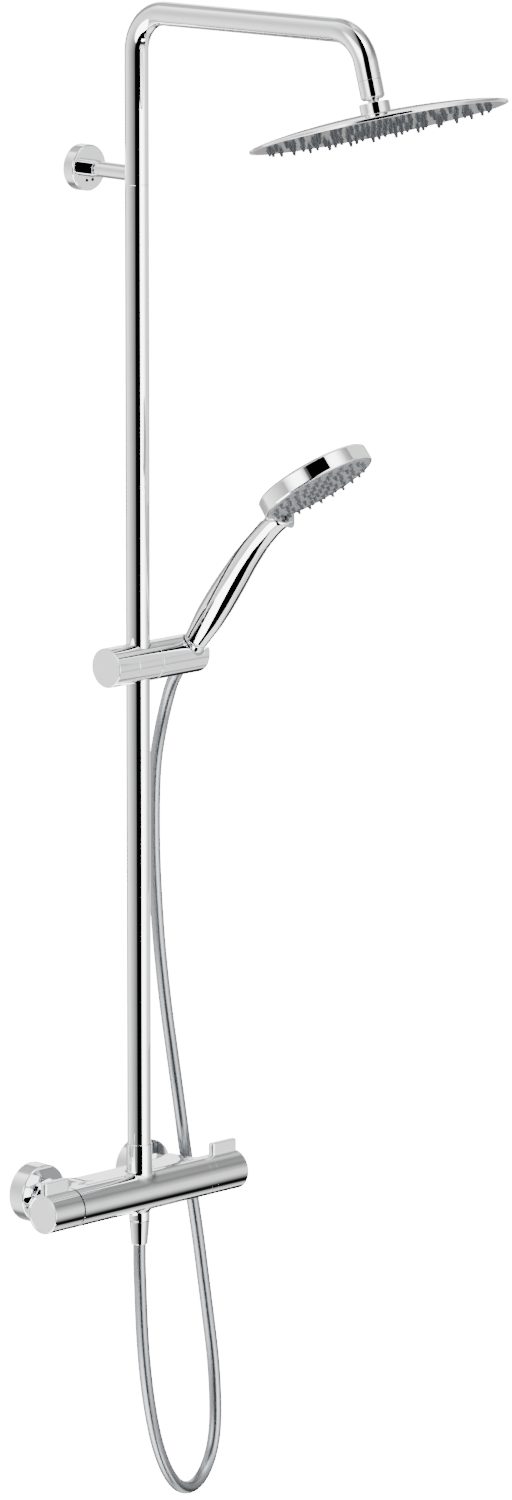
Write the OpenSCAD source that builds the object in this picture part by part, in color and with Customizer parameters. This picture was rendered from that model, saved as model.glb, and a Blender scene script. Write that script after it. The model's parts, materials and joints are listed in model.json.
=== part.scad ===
// Rainfall shower column: bar mixer, riser, bent arm, overhead rain head,
// sliding hand shower and hose. Millimetres. X runs along the wall, the wall
// is the plane Y = 0 with +Y into it, and the origin is midway between the
// two water inlets.

/* [Mixer] */
// Distance between the two wall inlets
inlet_spacing = 150; // [150:1:160]
// Diameter of the mixer bar and of its knobs
bar_d = 40; // [38:1:44]
// Length of the mixer bar over both knobs
bar_len = 274; // [268:2:300]
// Distance from the wall to the axis of the bar and of the riser
stand_off = 80; // [78:1:90]
// Length of one knob
knob_len = 42; // [36:1:46]
// Height of the grip fin above a knob
fin_h = 12; // [8:1:16]
// Length of the grip fin
fin_len = 36; // [28:1:36]
// Diameter of the wall escutcheons
escutcheon_d = 60; // [56:1:66]

/* [Column] */
// Outer diameter of the riser and of the arm
riser_d = 24; // [22:1:25]
// Height of the seam between the riser and the arm
seam_z = 1020; // [900:10:1100]
// Height of the arm above the mixer
arm_z = 1191; // [1150:1:1250]
// Upward slope of the arm, in degrees
arm_rise = 0.8; // [0:0.1:3]
// Reach of the arm from the riser to its outer corner
arm_reach = 303; // [250:1:400]
// Centreline radius of both bends
bend_r = 40; // [36:1:50]

/* [Rain head] */
// Diameter of the rain head
rain_d = 254; // [200:2:300]
// Tilt of the rain head away from the wall, in degrees
rain_tilt = 16; // [0:1:20]

/* [Hand shower] */
// Height of the slider's axis
slider_z = 541; // [300:1:700]
// Lean of the hand shower away from the wall, in degrees
hand_lean = 36.9; // [20:0.1:45]
// Turn of the hand shower about its own handle, in degrees
hand_turn = 6; // [0:1:10]
// Diameter of the hand shower's head
spray_d = 120; // [100:1:130]
// Diameter of the hose
hose_d = 13; // [12:0.5:14]

/* [Hidden] */
$fn = 48;
fit = 0.05;               // running or sliding fit, on the radius
bar_r = bar_d / 2;
riser_r = riser_d / 2;
riser_bore = riser_r - 1.3;
half_spacing = inlet_spacing / 2;
bar_end = bar_len / 2;
body_end = bar_end - knob_len;

// Wall unions
stud_r = 10.4;            // G1/2 thread
nut_thread_r = 13.2;      // G3/4 thread
water_r = 7.5;
stud_out = 18;            // how far a stud enters the wall
escutcheon_depth = 20;
cup_wall = 1.5;
union_body_r = 15;
tail_y = -30;             // where the union meets the mixer's inlet tail
nut_front_y = -44;
nut_back_y = -22;

// Mixer body
rear_y = -47;             // back of the casting between the inlets
boss_r = 19.8;
casting_half = 19.6;       // half the height of the casting behind the bar
cartridge_r = 16.4;
cartridge_depth = 44;
stem_r = 4;
port_r = 9.6;
knob_gap = 1.5;

// Column
collar_r = 13;
collar_top = 50;
collar_seat = 30;         // height where the riser stands in its collar
bracket_z = 1030;
bracket_tube_r = 8;
flange_r = 23.2;
flange_depth = 14;

// Arm, followed from the seam: leg, bend, leg, bend, leg
bend_1 = 90 - arm_rise;
bend_2 = 90 - rain_tilt + arm_rise;
tangent_1 = bend_r * tan(bend_1 / 2);
tangent_2 = bend_r * tan(bend_2 / 2);
arm_span = arm_reach / cos(arm_rise);
corner_y = -stand_off - arm_reach;
corner_z = arm_z + arm_reach * tan(arm_rise);
end_drop = 47;            // corner to the ball joint's seam
elbow_lap = 0.5;
elbow_step = 0.02;

// Rain head, measured down the end of the arm from the outer corner
socket_end = 66;
ball_at = 57;
ball_r = 9;
connector_top = 69;
connector_end = 80;
connector_r = 15;
rain_rim = 91.6;
rain_edge = 2.4;
rain_wall = 1.2;
rain_r = rain_d / 2;

// Slider
slider_r = 20;
slider_mid = 16.5;        // half length of the middle part
slider_gap = 0.4;
clamp_end = 45;
holder_end = 82.5;
bush_r = 15;
holder_x = 67;
holder_y = -stand_off - 3;
cone_top_r = 12.2;
cone_foot_r = 9.6;
cone_h = 40;

// Hand shower, measured up the handle from the slider's axis
handle_start = 20.4;
handle_end = 196;
face_up = 257.7;
face_out = 30.7;
face_pitch = 17.7;        // how far the face looks down from square
head_depth = 18;
spray_r = spray_d / 2;

// Hose route, mixer outlet first
hose_route = [
    [0, -80, -53], [0, -80, -74], [1, -80, -98], [4, -79, -140], [9, -78, -184],
    [18, -76, -228], [31, -73, -268], [47, -70, -299], [67, -66, -321],
    [91, -60, -330], [114, -54, -325], [132, -49, -308], [142, -46, -283],
    [146, -43, -250], [145, -41, -210], [140, -40, -170], [132, -40, -122],
    [125, -40, -80], [117, -40, -38], [107, -40, 12], [97, -41, 64],
    [86, -42, 120], [76, -42, 176], [69, -41, 232], [66, -39, 284],
    [65, -37, 336], [66, -36, 388], [68, -37, 428], [71, -42, 463],
    [71, -50, 489], [69, -60, 510], [67, -74, 529]
];

// ---- frames and shared shapes ------------------------------------------

// Children drawn up +Z are laid along +X from x
module along_x(x, y = 0, z = 0) translate([x, y, z]) rotate([0, 90, 0]) children();

// Children drawn up +Z point into the wall from y
module into_wall(x, y, z = 0) translate([x, y, z]) rotate([-90, 0, 0]) children();

// Frame at the arm's outer corner, with +Z back up the arm's end leg
module arm_end_frame() translate([0, corner_y, corner_z]) rotate([-rain_tilt, 0, 0]) children();

// Frame of the hand shower, with +Z up the handle and -Y out of its front
module hand_frame() {
    translate([holder_x, holder_y, slider_z])
        rotate([hand_lean, 0, 0]) rotate([0, 0, hand_turn]) children();
}

// Frame of the spray face, with -Z out of the face and +Y towards the handle
module face_frame() {
    hand_frame() translate([0, -face_out, face_up]) rotate([face_pitch - 90, 0, 0]) children();
}

module ring(outer_r, inner_r, h) {
    difference() {
        cylinder(r = outer_r, h = h);
        translate([0, 0, -1]) cylinder(r = inner_r, h = h + 2);
    }
}

// A cup with its closed end at the top and a hole through that end
module cup(outer_r, depth, wall, hole_r, chamfer) {
    rotate_extrude() polygon([
        [outer_r - wall, 0], [outer_r, 0], [outer_r, depth - chamfer],
        [outer_r - chamfer, depth], [hole_r, depth], [hole_r, depth - wall],
        [outer_r - wall, depth - wall]
    ]);
}

// Solid elbow from +Z towards -Y, drawn a hair slimmer than the legs it laps
module elbow(turn, r) {
    translate([0, -bend_r, 0]) rotate([90, 0, 90])
        rotate_extrude(angle = turn) translate([bend_r, 0]) circle(r = r - elbow_step);
}

// Frame at the far end of an elbow
module after_elbow(turn) {
    translate([0, -bend_r * (1 - cos(turn)), bend_r * sin(turn)])
        rotate([turn, 0, 0]) children();
}

// ---- wall unions and mixer -----------------------------------------------

module wall_union(x) {
    color("silver") difference() {
        union() {
            into_wall(x, tail_y) cylinder(r = nut_thread_r, h = 14);
            into_wall(x, -17) cylinder(r = union_body_r, h = 17);
            into_wall(x, -1) cylinder(r = stud_r, h = stud_out + 1);
        }
        into_wall(x, tail_y - 1) cylinder(r = water_r, h = stud_out - tail_y + 2);
    }
}

module escutcheon(x) {
    color("gainsboro") translate([x, 0, 0]) rotate([90, 0, 0])
        cup(escutcheon_d / 2, escutcheon_depth, cup_wall, union_body_r + fit, 0.8);
}

module union_nut(x) {
    color("gainsboro") difference() {
        into_wall(x, nut_front_y) rotate([0, 0, 30]) cylinder(r = 17.6, h = nut_back_y - nut_front_y, $fn = 6);
        into_wall(x, -34.1) cylinder(r = nut_thread_r + fit, h = 14);
        into_wall(x, nut_front_y - 1) cylinder(r = 11.1, h = 20);
    }
}

module inlet_washers() {
    color("dimgray") for (x = [-half_spacing, half_spacing])
        into_wall(x, tail_y - 2) ring(12.8, water_r, 2);
}

module valve_body() {
    color("silver") difference() {
        union() {
            along_x(-body_end, -stand_off) cylinder(r = bar_r, h = 2 * body_end);
            translate([-half_spacing, -stand_off, -casting_half])
                cube([inlet_spacing, stand_off + rear_y, 2 * casting_half]);
            for (x = [-half_spacing, half_spacing]) {
                into_wall(x, -stand_off) cylinder(r = boss_r, h = stand_off + rear_y);
                intersection() {
                    into_wall(x, -stand_off + 4) cylinder(r1 = 24, r2 = boss_r - 0.5, h = 16);
                    translate([-body_end, -stand_off, -30]) cube([2 * body_end, 40, 60]);
                }
                into_wall(x, rear_y - 1) cylinder(r = 11, h = 15);
                into_wall(x, -34) cylinder(r = 12.8, h = 2);
            }
        }
        for (side = [-1, 1]) {
            translate([side * (body_end - cartridge_depth / 2 + 1), -stand_off, 0]) rotate([0, 90, 0])
                cylinder(r = cartridge_r + fit, h = cartridge_depth + 2, center = true);
            into_wall(side * half_spacing, -stand_off) cylinder(r = water_r, h = stand_off);
        }
        along_x(-body_end + 2, -stand_off) cylinder(r = 7, h = 2 * body_end - 4);
        translate([0, -stand_off, -bar_r - 1]) cylinder(r = port_r + fit, h = 2 * bar_r + 2);
    }
}

// Cartridge with grooves for its two rings; side is -1 on the left, 1 on the right
module cartridge(side) {
    inner = body_end - cartridge_depth + 1;
    mirror([side < 0 ? 1 : 0, 0, 0]) difference() {
        union() {
            along_x(inner, -stand_off) cylinder(r = cartridge_r, h = body_end - inner);
            along_x(body_end - 1, -stand_off) cylinder(r = stem_r, h = 17);
        }
        for (x = [inner + 4, inner + 34]) along_x(x, -stand_off) ring(cartridge_r + 1, 14.9, 2.2);
        along_x(inner + 12, -stand_off) ring(cartridge_r + 1, 12, 14);
        along_x(inner - 1, -stand_off) cylinder(r = 6, h = 20);
    }
}

module thermostatic_cartridge() color("goldenrod") cartridge(-1);

module diverter_cartridge() color("goldenrod") cartridge(1);

module cartridge_seals() {
    inner = body_end - cartridge_depth + 1;
    color("black") for (side = [0, 1]) mirror([side, 0, 0])
        for (x = [inner + 4.1, inner + 34.1]) along_x(x, -stand_off) ring(16.4, 15, 2);
}

// Knob on the right; start is where its inner end lies
module knob(start) {
    color("gainsboro") difference() {
        along_x(0, -stand_off) rotate_extrude() polygon([
            [stem_r + fit, start + 2], [8, start + 2], [8, bar_end - 12], [17.8, bar_end - 12],
            [17.8, start], [bar_r, start], [bar_r, bar_end - 1], [bar_r - 1, bar_end],
            [0, bar_end], [0, bar_end - 10], [stem_r + fit, bar_end - 10]
        ]);
        translate([body_end + 10, -stand_off, -bar_r - 1]) cylinder(r = 2 + fit, h = bar_r);
    }
}

// Upright grip fin with rounded ends, cut to sit on the knob
module fin() {
    fin_r = 3.75;
    color("whitesmoke") difference() {
        translate([bar_end - fin_len / 2, -stand_off, 14]) linear_extrude(bar_r - 14 + fin_h) union() {
            square([fin_len - 2 * fin_r, 2 * fin_r], center = true);
            for (side = [-1, 1]) translate([side * (fin_len / 2 - fin_r), 0]) circle(r = fin_r);
        }
        along_x(bar_end - fin_len - 1, -stand_off) cylinder(r = bar_r, h = fin_len + 2);
    }
}

module knob_screw() {
    color("dimgray") difference() {
        translate([body_end + 10, -stand_off, -bar_r + 1]) cylinder(r = 2, h = bar_r - 1 - stem_r - fit);
        translate([body_end + 10, -stand_off, -bar_r]) cylinder(r = 1.1, h = 3, $fn = 6);
    }
}

module temperature_knob() mirror([1, 0, 0]) knob(body_end + knob_gap);

module temperature_tab() mirror([1, 0, 0]) fin();

module temperature_screw() mirror([1, 0, 0]) knob_screw();

module gap_ring() {
    color("black") along_x(-body_end - knob_gap + 0.2, -stand_off) ring(bar_r - 1, stem_r + 4, knob_gap - 0.2);
}

module flow_knob() knob(body_end + 0.4);

module flow_tab() fin();

module flow_screw() knob_screw();

// ---- column --------------------------------------------------------------

// What the collar and the outlet are cut back to: the bar and the casting behind it
module casting_outline(reach) {
    along_x(-reach, -stand_off) cylinder(r = bar_r + 0.05, h = 2 * reach);
    translate([-reach, -stand_off, -casting_half - 0.05]) cube([2 * reach, 30, 2 * casting_half + 0.1]);
}

module riser_collar() {
    color("gainsboro") difference() {
        union() {
            difference() {
                translate([0, -stand_off, 10]) cylinder(r = collar_r, h = collar_top - 10);
                casting_outline(collar_r + 1);
            }
            translate([0, -stand_off, 9]) cylinder(r = port_r, h = 14);
        }
        translate([0, -stand_off, 8]) cylinder(r = water_r, h = collar_top);
        translate([0, -stand_off, collar_seat - 2]) cylinder(r = riser_r + fit, h = collar_top);
    }
}

module riser_seal() color("black") translate([0, -stand_off, collar_seat - 2]) ring(riser_r - 0.2, 9, 2);

module riser_tube() {
    color("gainsboro") translate([0, -stand_off, collar_seat]) ring(riser_r, riser_bore, seam_z - collar_seat);
}

module joint_sleeve() {
    color("goldenrod") translate([0, -stand_off, seam_z - 30]) ring(riser_bore - fit, riser_bore - 2, 60);
}

// Solid rod along the arm; over is how far it runs past both ends
module arm_rod(r, over) {
    leg_1 = arm_z - seam_z - tangent_1;
    leg_2 = arm_span - tangent_1 - tangent_2;
    leg_3 = end_drop - tangent_2;
    translate([0, 0, -over]) cylinder(r = r, h = over + leg_1 + elbow_lap);
    translate([0, 0, leg_1]) {
        elbow(bend_1, r);
        after_elbow(bend_1) {
            translate([0, 0, -elbow_lap]) cylinder(r = r, h = leg_2 + 2 * elbow_lap);
            translate([0, 0, leg_2]) {
                elbow(bend_2, r);
                after_elbow(bend_2) translate([0, 0, -elbow_lap])
                    cylinder(r = r, h = elbow_lap + leg_3 + over);
            }
        }
    }
}

module shower_arm() {
    color("gainsboro") translate([0, -stand_off, seam_z]) difference() {
        arm_rod(riser_r, 0);
        arm_rod(riser_bore, 1);
    }
}

module bracket_plate() {
    color("silver") difference() {
        into_wall(0, -4, bracket_z) cylinder(r = 19, h = 4);
        for (x = [-12, 12]) into_wall(x, -5, bracket_z) cylinder(r = 2.6, h = 6);
    }
}

module bracket_flange() {
    color("gainsboro") translate([0, 0, bracket_z]) rotate([90, 0, 0])
        cup(flange_r, flange_depth, cup_wall, bracket_tube_r + fit, 0.8);
}

module bracket_grub_screws() {
    color("black") for (x = [-4, 4]) into_wall(x, -flange_depth - 0.6, bracket_z - 12) cylinder(r = 1.5, h = 0.6);
}

module bracket_ferrule() {
    color("gainsboro") into_wall(0, -flange_depth - 12, bracket_z) ring(bracket_tube_r + 0.9, bracket_tube_r + fit, 12);
}

module bracket_tube() {
    color("gainsboro") difference() {
        into_wall(0, -stand_off, bracket_z) ring(bracket_tube_r, bracket_tube_r - 1.5, stand_off - 4);
        translate([0, -stand_off, bracket_z - 20]) cylinder(r = riser_r, h = 40);
    }
}

// ---- ball joint and rain head -----------------------------------------------

module ball_socket() {
    color("gainsboro") arm_end_frame() difference() {
        union() {
            translate([0, 0, -socket_end + 2]) cylinder(r = riser_r, h = socket_end - end_drop - 2);
            translate([0, 0, -socket_end]) cylinder(r1 = riser_r - 2, r2 = riser_r, h = 2);
            translate([0, 0, -end_drop]) cylinder(r = riser_bore - fit, h = 9);
        }
        translate([0, 0, -ball_at]) sphere(r = ball_r + fit);
        translate([0, 0, -ball_at]) cylinder(r = ball_r + fit, h = 25);
        translate([0, 0, -socket_end - 1]) cylinder(r1 = 9.4, r2 = 7.4, h = 5);
    }
}

module ball_seat() {
    color("black") arm_end_frame() difference() {
        translate([0, 0, -ball_at + 2]) cylinder(r = ball_r, h = 10);
        translate([0, 0, -ball_at]) sphere(r = ball_r + fit);
        translate([0, 0, -ball_at]) cylinder(r = 4, h = 20);
    }
}

module swivel_ball() {
    color("silver") arm_end_frame() difference() {
        union() {
            translate([0, 0, -ball_at]) sphere(r = ball_r);
            translate([0, 0, -connector_end + 2]) cylinder(r = 5.6, h = connector_end - ball_at - 4);
        }
        translate([0, 0, -connector_end]) cylinder(r = 3.6, h = connector_end);
    }
}

module rain_connector() {
    color("gainsboro") arm_end_frame() difference() {
        translate([0, 0, -connector_end]) cylinder(r = connector_r, h = connector_end - connector_top);
        translate([0, 0, -connector_end - 1]) cylinder(r = 5.6 + fit, h = 20);
        translate([0, 0, -connector_end - 1]) cylinder(r = 11, h = 3);
    }
}

module rain_filter() color("dimgray") arm_end_frame() translate([0, 0, -connector_end]) ring(10.8, 4, 1.6);

// Half section of the shallow dome that covers the rain head
module rain_dome_section(drop) {
    top = -connector_end - 0.5;
    polygon(concat(
        [for (a = [0:10:90]) [10.9 + (rain_r - 10.9) * sin(a), -rain_rim + (top + rain_rim) * pow(cos(a), 1.6) - drop]],
        [[rain_r, -rain_rim - rain_edge - drop], [0, -rain_rim - rain_edge - drop], [0, top - drop]]
    ));
}

module rain_cover() {
    color("gainsboro") arm_end_frame() difference() {
        rotate_extrude() rain_dome_section(0);
        translate([0, 0, -rain_rim - rain_edge - 1]) cylinder(r = rain_r - rain_wall, h = rain_edge + 1);
        rotate_extrude() intersection() {
            rain_dome_section(rain_wall);
            translate([0, -rain_rim - 1]) square([rain_r - 3, 40]);
        }
        translate([0, 0, -connector_end - 4]) cylinder(r = 6, h = 6);
    }
}

module rain_seal() {
    color("black") arm_end_frame() translate([0, 0, -rain_rim - 0.8]) ring(rain_r - 1.6, rain_r - 4.6, 0.8);
}

module rain_face() {
    color("lightgray") arm_end_frame() translate([0, 0, -rain_rim - rain_edge])
        cylinder(r = rain_r - rain_wall - 0.1, h = rain_edge - 0.9);
}

// Rings of nozzles: one in the middle, then six more on each ring
module nozzle_rings(rings, pitch) {
    children();
    for (k = [1:rings], i = [0:6 * k - 1]) rotate([0, 0, i * 60 / k]) translate([k * pitch, 0, 0]) children();
}

module rain_nozzles() {
    color("dimgray") arm_end_frame() translate([0, 0, -rain_rim - rain_edge - 5])
        nozzle_rings(5, 21.6) cylinder(r1 = 1, r2 = 2.1, h = 5);
}

// ---- slider and holder ----------------------------------------------------

module slider_bush() {
    color("white") translate([0, -stand_off, slider_z - 17]) ring(bush_r, riser_r + fit, 34);
}

module slider_body() {
    color("gainsboro") difference() {
        along_x(-slider_mid, -stand_off, slider_z) cylinder(r = slider_r, h = 2 * slider_mid);
        translate([0, -stand_off, slider_z - 25]) cylinder(r = bush_r + fit, h = 50);
        along_x(-slider_mid - 1, -stand_off, slider_z) cylinder(r = 3 + fit, h = 4);
    }
}

module clamp_knob() {
    color("gainsboro") difference() {
        along_x(0, -stand_off, slider_z) rotate_extrude() polygon([
            [0, -clamp_end], [slider_r - 1.5, -clamp_end], [slider_r, -clamp_end + 1.5],
            [slider_r, -slider_mid - slider_gap], [0, -slider_mid - slider_gap]
        ]);
        along_x(-clamp_end + 10, -stand_off, slider_z) cylinder(r = 3 + fit, h = 40);
    }
}

module clamp_screw() {
    color("dimgray") along_x(-clamp_end + 10, -stand_off, slider_z) cylinder(r = 3, h = clamp_end - 10 - bush_r - 0.4);
}

module holder() {
    color("gainsboro") difference() {
        along_x(0, -stand_off, slider_z) rotate_extrude() polygon([
            [0, slider_mid + slider_gap], [slider_r, slider_mid + slider_gap],
            [slider_r, holder_end - 1.5], [slider_r - 1.5, holder_end], [0, holder_end]
        ]);
        hand_frame() translate([0, 0, -cone_h / 2])
            cylinder(r1 = cone_foot_r + 1, r2 = cone_top_r + 1, h = cone_h);
        hand_frame() translate([0, 0, -60]) cylinder(r = cone_foot_r + 1, h = 60);
        hand_frame() rotate([0, 0, -hand_turn]) translate([0, -7.5, -60]) cube([40, 15, 120]);
        along_x(slider_mid, -stand_off, slider_z) cylinder(r = 10 + fit, h = 2);
    }
}

module holder_liner() {
    color("gray") hand_frame() difference() {
        translate([0, 0, -16]) cylinder(r1 = 10.8, r2 = 12.6, h = 28);
        translate([0, 0, -16.1]) cylinder(r1 = 10.3, r2 = 11.8, h = 28.2);
        rotate([0, 0, -hand_turn]) translate([0, -7.5, -60]) cube([40, 15, 120]);
    }
}

module holder_washer() {
    color("white") along_x(slider_mid + 0.05, -stand_off, slider_z) cylinder(r = 10, h = 1.8);
}

// ---- hand shower -----------------------------------------------------------

module upper_hose_nut() {
    color("silver") hand_frame() difference() {
        translate([0, 0, -16]) cylinder(r1 = 10.2, r2 = 12, h = 36);
        translate([0, 0, -20]) cylinder(r = hose_d / 2 + 0.2, h = 29);
        translate([0, 0, 8]) cylinder(r = stud_r + fit, h = 20);
    }
}

module hose_washer() color("black") hand_frame() translate([0, 0, 8.1]) ring(9.8, 5, 2);

// Closed loft through oval rings, each [height, half width, half depth, offset to the front]
module oval_loft(rings, sides) {
    points = [for (r = rings, i = [0:sides - 1])
        [r[1] * cos(i * 360 / sides), r[2] * sin(i * 360 / sides) - r[3], r[0]]];
    last = len(rings) - 1;
    faces = concat(
        [[for (i = [0:sides - 1]) i]],
        [for (k = [0:last - 1], i = [0:sides - 1])
            [k * sides + i, (k + 1) * sides + i, (k + 1) * sides + (i + 1) % sides, k * sides + (i + 1) % sides]],
        [[for (i = [sides - 1:-1:0]) last * sides + i]]
    );
    polyhedron(points, faces);
}

module handle_shell() {
    color("gainsboro") hand_frame() difference() {
        oval_loft([
            [handle_start, 11.9, 11.6, 0], [30, 12.5, 12, 0], [50, 14.6, 13.2, 0.4],
            [76, 16, 13.8, 0.8], [104, 16, 13, 0.8], [132, 15, 11.6, 1],
            [160, 14.4, 10.6, 3], [184, 14.8, 10, 7], [handle_end, 16, 9.6, 9.6]
        ], 24);
        translate([0, 0, handle_start - 1]) cylinder(r = 6.1, h = 140);
        translate([0, 0, handle_start - 1]) cylinder(r = stud_r + fit, h = 10);
    }
}

module handle_pipe() color("white") hand_frame() translate([0, 0, 29.2]) ring(6, 4.5, 110);

module handle_inlet() {
    color("silver") hand_frame() translate([0, 0, 10.2]) ring(stud_r, 5, 18.8);
}

module neck_ring() {
    color("gray") difference() {
        hand_frame() oval_loft([[handle_end + 0.2, 15, 8.2, 8.6], [handle_end + 9, 15.5, 6, 6]], 24);
        face_frame() translate([0, 0, -10]) cylinder(r = spray_r + fit, h = 40);
    }
}

module spray_shell() {
    color("gainsboro") face_frame() difference() {
        rotate_extrude() polygon([
            [0, 0.6], [spray_r - 2.4, 0.6], [spray_r - 2.4, 0], [spray_r - 1, 0], [spray_r, 1],
            [spray_r - 0.6, head_depth - 3], [spray_r - 4, head_depth], [0, head_depth + 3]
        ]);
        translate([0, 0, -1]) cylinder(r = spray_r - 2.4, h = 3.6);
        translate([0, 0, 2]) cylinder(r = 44, h = 8);
        translate([0, 0, 2.5]) ring(48.1, 44.9, 1.3);
    }
}

module spray_seal() color("black") face_frame() translate([0, 0, 2.45]) ring(48, 45, 1.25);

module spray_face() {
    color("darkgray") face_frame() translate([0, 0, -0.4]) cylinder(r = spray_r - 2.5, h = 2.8);
}

module selector_tab() {
    color("darkgray") face_frame() difference() {
        translate([5, spray_r - 8, -0.4]) rotate([90 + 37, 0, 0])
            linear_extrude(3, center = true) union() {
                translate([-4.5, -10]) square([9, 10]);
                translate([0, -10]) circle(r = 4.5);
            }
        translate([0, 0, -0.4]) cylinder(r = spray_r, h = 5);
    }
}

module spray_nozzles() {
    color("dimgray") face_frame() translate([0, 0, -3.4]) nozzle_rings(4, 12.4) cylinder(r1 = 0.9, r2 = 1.7, h = 3);
}

// ---- outlet and hose ---------------------------------------------------------

module outlet_nipple() {
    color("silver") difference() {
        union() {
            difference() {
                translate([0, -stand_off, -29.6]) cylinder(r = 10.5, h = 20);
                casting_outline(12);
            }
            translate([0, -stand_off, -22]) cylinder(r = port_r, h = 13);
            translate([0, -stand_off, -43]) cylinder(r = 8, h = 16);
        }
        translate([0, -stand_off, -44]) cylinder(r = 5, h = 40);
    }
}

module lower_hose_nut() {
    color("silver") difference() {
        translate([0, -stand_off, -54]) cylinder(r1 = 8.2, r2 = 10.3, h = 24);
        translate([0, -stand_off, -43.5]) cylinder(r = 8 + fit, h = 20);
        translate([0, -stand_off, -55]) cylinder(r = hose_d / 2 + 0.2, h = 8);
        translate([0, -stand_off, -50]) cylinder(r = 5, h = 20);
    }
}

function unit(v) = v / norm(v);

// Direction of the route at point i
function route_dir(i) =
    unit(hose_route[min(i + 1, len(hose_route) - 1)] - hose_route[max(i - 1, 0)]);

// One ring of the hose, square to the route
function hose_ring(i, sides) =
    let (dir = route_dir(i), side = unit(cross(dir, [0, 1, 0])), up = cross(side, dir))
    [for (k = [0:sides - 1]) hose_route[i]
        + (hose_d / 2) * (cos(k * 360 / sides) * side + sin(k * 360 / sides) * up)];

module hose_tube() {
    sides = 12;
    last = len(hose_route) - 1;
    points = [for (i = [0:last]) each hose_ring(i, sides)];
    faces = concat(
        [[for (k = [0:sides - 1]) k]],
        [for (i = [0:last - 1], k = [0:sides - 1])
            [i * sides + k, (i + 1) * sides + k, (i + 1) * sides + (k + 1) % sides, i * sides + (k + 1) % sides]],
        [[for (k = [sides - 1:-1:0]) last * sides + k]]
    );
    color("silver") polyhedron(points, faces);
}

// ---- assembly ------------------------------------------------------------

wall_union(-half_spacing);  // left_wall_union
wall_union(half_spacing);  // right_wall_union
escutcheon(-half_spacing);  // left_escutcheon
escutcheon(half_spacing);  // right_escutcheon
union_nut(-half_spacing);  // left_union_nut
union_nut(half_spacing);  // right_union_nut
inlet_washers();
valve_body();
thermostatic_cartridge();
diverter_cartridge();
cartridge_seals();
temperature_knob();
temperature_tab();
temperature_screw();
gap_ring();
flow_knob();
flow_tab();
flow_screw();
riser_collar();
riser_seal();
riser_tube();
joint_sleeve();
shower_arm();
bracket_plate();
bracket_flange();
bracket_grub_screws();
bracket_ferrule();
bracket_tube();
ball_socket();
ball_seat();
swivel_ball();
rain_connector();
rain_filter();
rain_cover();
rain_seal();
rain_face();
rain_nozzles();
slider_bush();
slider_body();
clamp_knob();
clamp_screw();
holder();
holder_liner();
holder_washer();
upper_hose_nut();
hose_washer();
handle_shell();
handle_pipe();
handle_inlet();
neck_ring();
spray_shell();
spray_seal();
spray_face();
selector_tab();
spray_nozzles();
outlet_nipple();
lower_hose_nut();
hose_tube();
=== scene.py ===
import json
import math

import bpy
import numpy as np
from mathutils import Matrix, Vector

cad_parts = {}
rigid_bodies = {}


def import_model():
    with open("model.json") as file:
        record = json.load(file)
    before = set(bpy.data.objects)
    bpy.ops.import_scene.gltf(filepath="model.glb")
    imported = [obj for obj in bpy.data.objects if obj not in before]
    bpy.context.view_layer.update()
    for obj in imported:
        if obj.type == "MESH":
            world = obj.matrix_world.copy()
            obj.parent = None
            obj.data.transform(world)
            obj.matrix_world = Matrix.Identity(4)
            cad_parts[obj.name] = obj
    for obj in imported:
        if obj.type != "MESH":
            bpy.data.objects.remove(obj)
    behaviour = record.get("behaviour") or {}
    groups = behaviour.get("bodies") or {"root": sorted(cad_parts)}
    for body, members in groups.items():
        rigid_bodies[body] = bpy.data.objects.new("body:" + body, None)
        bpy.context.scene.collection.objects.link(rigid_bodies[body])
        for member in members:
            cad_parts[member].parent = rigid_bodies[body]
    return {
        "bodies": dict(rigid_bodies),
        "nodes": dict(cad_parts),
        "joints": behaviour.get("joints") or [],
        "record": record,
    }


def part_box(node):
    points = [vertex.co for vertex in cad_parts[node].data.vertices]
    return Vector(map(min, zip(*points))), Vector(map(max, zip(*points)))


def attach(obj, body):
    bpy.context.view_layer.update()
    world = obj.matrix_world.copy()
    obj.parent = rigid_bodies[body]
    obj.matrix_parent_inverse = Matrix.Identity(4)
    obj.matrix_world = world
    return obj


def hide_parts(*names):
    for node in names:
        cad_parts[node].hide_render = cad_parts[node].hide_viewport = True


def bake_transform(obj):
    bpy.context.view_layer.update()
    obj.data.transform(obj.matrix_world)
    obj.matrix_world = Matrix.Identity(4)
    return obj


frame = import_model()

import openvdb
from bpy.props import FloatProperty, FloatVectorProperty, PointerProperty
from mathutils import Matrix, Vector

bl_info = {
    "name": "Rainfall shower column",
    "version": (1, 0, 0),
    "blender": (4, 5, 0),
    "location": "3D View > Sidebar > Shower",
    "description": "Chrome bar mixer, riser, rain head, hand shower and hose on a fixed CAD frame",
    "category": "Object",
}

KEPT = {o.name for o in frame["nodes"].values()} | {o.name for o in frame["bodies"].values()}
for leftover in [o for o in bpy.data.objects if o.name not in KEPT]:
    bpy.data.objects.remove(leftover)
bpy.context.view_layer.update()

MM = 0.001


def linear(code):
    """An sRGB hex colour as linear RGBA."""
    channels = [int(code[i:i + 2], 16) / 255 for i in (1, 3, 5)]
    return tuple(c / 12.92 if c <= 0.04045 else ((c + 0.055) / 1.055) ** 2.4 for c in channels) + (1.0,)


# ---- sizes and colours that a user would change ---------------------------------


def length(name, description, default):
    return FloatProperty(name=name, description=description, default=default, min=0.0, unit="LENGTH")


def colour(name, description, code):
    return FloatVectorProperty(name=name, description=description, default=linear(code),
                               size=4, min=0.0, max=1.0, subtype="COLOR")


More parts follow.
